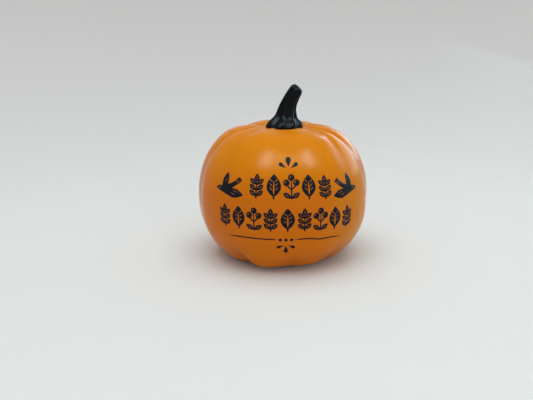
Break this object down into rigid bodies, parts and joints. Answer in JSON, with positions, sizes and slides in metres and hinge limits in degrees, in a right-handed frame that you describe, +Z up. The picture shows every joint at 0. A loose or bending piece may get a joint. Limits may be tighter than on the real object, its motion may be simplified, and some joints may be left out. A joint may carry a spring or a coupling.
{
  "type": "ceramic pumpkin figure",
  "caption": "Hollow ceramic pumpkin figure with soft lobes, a leaning fluted stem and a printed botanical decoration wrapped round the front.",
  "frame": {"origin": "on the standing surface, under the middle of the body", "axes": "+Z up; the decorated side faces -Y; the stem leans towards +X"},
  "size_m": [0.1026, 0.102, 0.1037],
  "materials": {
    "orange_ceramic": "satin glaze over a warm orange colour",
    "black_ceramic": "semi-gloss black",
    "adhesive": "cured clear glue",
    "felt": "pressed felt",
    "ink": "satin blue-black printed ink"
  },
  "bodies": {
    "root": {"body_shell": "orange_ceramic", "stem": "black_ceramic", "stem_adhesive": "adhesive", "base_pad_1": "felt", "base_pad_2": "felt", "base_pad_3": "felt", "base_pad_4": "felt", "print_top_petals": "ink", "print_left_bird": "ink", "print_right_bird": "ink", "print_upper_row": "ink", "print_lower_row": "ink", "print_left_rule": "ink", "print_right_rule": "ink", "print_dots": "ink", "print_bottom_petals": "ink"}
  },
  "joints": []
}
